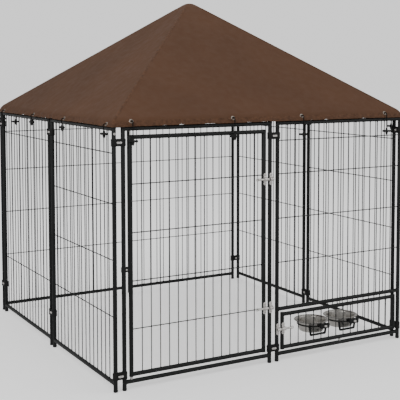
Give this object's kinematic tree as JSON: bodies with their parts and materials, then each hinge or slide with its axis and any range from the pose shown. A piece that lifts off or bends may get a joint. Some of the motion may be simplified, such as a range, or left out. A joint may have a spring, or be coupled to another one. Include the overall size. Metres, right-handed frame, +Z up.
{
  "type": "outdoor wire dog kennel with canopy",
  "caption": "Square outdoor wire kennel with a latched hinged door, a revolving gate that carries feeding bowls, and a pyramid cloth canopy on bent roof spars.",
  "frame": {"origin": "centre of the footprint, on the ground under the posts", "axes": "+Z up; -Y is the front with the door and the bowl gate; +X is to the right seen from the front"},
  "size_m": [1.4158, 1.4284, 1.5335],
  "materials": {
    "black_coat": "satin black powder coat on steel tube and wire",
    "black_shell": "satin black coated clamp shell",
    "zinc": "bright zinc plate",
    "stainless": "spun stainless steel",
    "canopy_cloth": "matt brown coated polyester cloth"
  },
  "bodies": {
    "fence": {"panel_left_rear": "black_coat", "panel_left_front": "black_coat", "panel_back_left": "black_coat", "panel_back_right": "black_coat", "panel_right_rear": "black_coat", "panel_right_front": "black_coat", "door_panel": "black_coat", "bowl_panel": "black_coat", "bowl_panel_wires": "black_coat", "door_pin_top": "zinc", "door_pin_bottom": "zinc", "gate_pin_top": "zinc", "gate_pin_bottom": "zinc", "door_keeper_upper": "zinc", "door_keeper_lower": "zinc", "gate_keeper": "zinc", "canopy": "canopy_cloth", "roof_hub": "black_coat", "roof_spar_front_left": "black_coat", "roof_spar_front_right": "black_coat", "roof_spar_back_left": "black_coat", "roof_spar_back_right": "black_coat", "roof_screw_front_left": "zinc", "roof_screw_front_right": "zinc", "roof_screw_back_left": "zinc", "roof_screw_back_right": "zinc", "clamp_front_left_top": "black_shell", "clamp_front_left_bottom": "black_shell", "clamp_front_mid_top": "black_shell", "clamp_front_mid_bottom": "black_shell", "clamp_front_right_top": "black_shell", "clamp_front_right_bottom": "black_shell", "clamp_right_mid_top": "black_shell", "clamp_right_mid_bottom": "black_shell", "clamp_back_right_top": "black_shell", "clamp_back_right_bottom": "black_shell", "clamp_back_mid_top": "black_shell", "clamp_back_mid_bottom": "black_shell", "clamp_back_left_top": "black_shell", "clamp_back_left_bottom": "black_shell", "clamp_left_mid_top": "black_shell", "clamp_left_mid_bottom": "black_shell"},
    "door": {"door": "black_coat", "door_guide_upper": "zinc", "door_guide_lower": "zinc"},
    "door_bolt_upper": {"door_bolt_upper": "zinc"},
    "door_bolt_lower": {"door_bolt_lower": "zinc"},
    "gate": {"bowl_gate": "black_coat", "gate_guide": "zinc", "bowl_holder_left": "black_coat", "bowl_holder_right": "black_coat", "bowl_clamp_bar_left": "black_coat", "bowl_clamp_bar_right": "black_coat", "bowl_screw_left": "zinc", "bowl_screw_right": "zinc"},
    "gate_bolt": {"gate_bolt": "zinc"},
    "bowl_left": {"bowl_left": "stainless"},
    "bowl_right": {"bowl_right": "stainless"}
  },
  "joints": [
    {"name": "door_hinge", "type": "hinge", "parent": "fence", "child": "door", "pos_m": [-0.631, -0.697, 0.514], "axis": [0, 0, -1], "range_deg": [0, 130]},
    {"name": "gate_pivot", "type": "hinge", "parent": "fence", "child": "gate", "pos_m": [0.367, -0.697, 0.127], "axis": [0, 0, 1], "continuous": true},
    {"name": "door_bolt_upper_slide", "type": "slide", "parent": "door", "child": "door_bolt_upper", "axis": [1, 0, 0], "range_m": [0, 0.027]},
    {"name": "door_bolt_lower_slide", "type": "slide", "parent": "door", "child": "door_bolt_lower", "axis": [1, 0, 0], "range_m": [0, 0.027]},
    {"name": "gate_bolt_slide", "type": "slide", "parent": "gate", "child": "gate_bolt", "axis": [-1, 0, 0], "range_m": [0, 0.027]},
    {"name": "bowl_left_lift", "type": "slide", "parent": "gate", "child": "bowl_left", "axis": [0, 0, 1], "range_m": [0, 0.08]},
    {"name": "bowl_right_lift", "type": "slide", "parent": "gate", "child": "bowl_right", "axis": [0, 0, 1], "range_m": [0, 0.08]}
  ]
}
